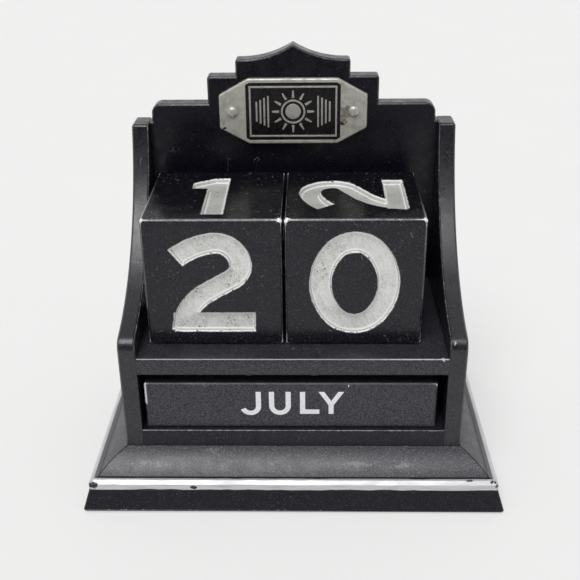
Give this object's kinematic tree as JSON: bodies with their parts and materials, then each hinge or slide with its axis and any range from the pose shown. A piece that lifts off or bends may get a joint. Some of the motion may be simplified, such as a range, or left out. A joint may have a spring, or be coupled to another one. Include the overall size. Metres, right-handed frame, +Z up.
{
  "type": "perpetual desk calendar",
  "caption": "Painted desk stand with loose date cubes on a tray and month bars that slide out of a slot below it.",
  "frame": {"origin": "middle of the foot, on the surface that the felt rests on", "axes": "+Z up, front towards -Y, +X to the right of someone reading the calendar"},
  "size_m": [0.1402, 0.095, 0.1391],
  "materials": {
    "stand_paint": "satin black paint",
    "bead_paint": "silver paint",
    "cube_paint": "satin black paint, silver numerals",
    "bar_paint": "satin black paint, printed names",
    "felt": "felt",
    "plate_metal": "cast, satin",
    "plate_enamel": "enamel",
    "screw_steel": "zinc plated"
  },
  "bodies": {
    "stand": {"felt_pad": "felt", "plinth_board": "stand_paint", "bead_board": "bead_paint", "moulded_board": "stand_paint", "base_screws": "screw_steel", "box_floor": "stand_paint", "tray_shelf": "stand_paint", "cheek_left": "stand_paint", "cheek_right": "stand_paint", "back_panel": "stand_paint", "badge_plate": "plate_metal", "badge_enamel": "plate_enamel", "badge_rivet_left": "plate_metal", "badge_rivet_right": "plate_metal"},
    "left_cube": {"date_cube_left": "cube_paint"},
    "right_cube": {"date_cube_right": "cube_paint"},
    "rear_bar": {"month_bar_rear": "bar_paint"},
    "middle_bar": {"month_bar_middle": "bar_paint"},
    "front_bar": {"month_bar_front": "bar_paint"}
  },
  "joints": [
    {"name": "left_cube_lift", "type": "slide", "parent": "stand", "child": "left_cube", "axis": [0, 0, 1], "range_m": [0, 0.09]},
    {"name": "right_cube_lift", "type": "slide", "parent": "stand", "child": "right_cube", "axis": [0, 0, 1], "range_m": [0, 0.09]},
    {"name": "rear_bar_slide", "type": "slide", "parent": "stand", "child": "rear_bar", "axis": [0, -1, 0], "range_m": [0, 0.06]},
    {"name": "middle_bar_slide", "type": "slide", "parent": "rear_bar", "child": "middle_bar", "axis": [0, -1, 0], "range_m": [0, 0.04]},
    {"name": "front_bar_slide", "type": "slide", "parent": "middle_bar", "child": "front_bar", "axis": [0, -1, 0], "range_m": [0, 0.04]}
  ]
}
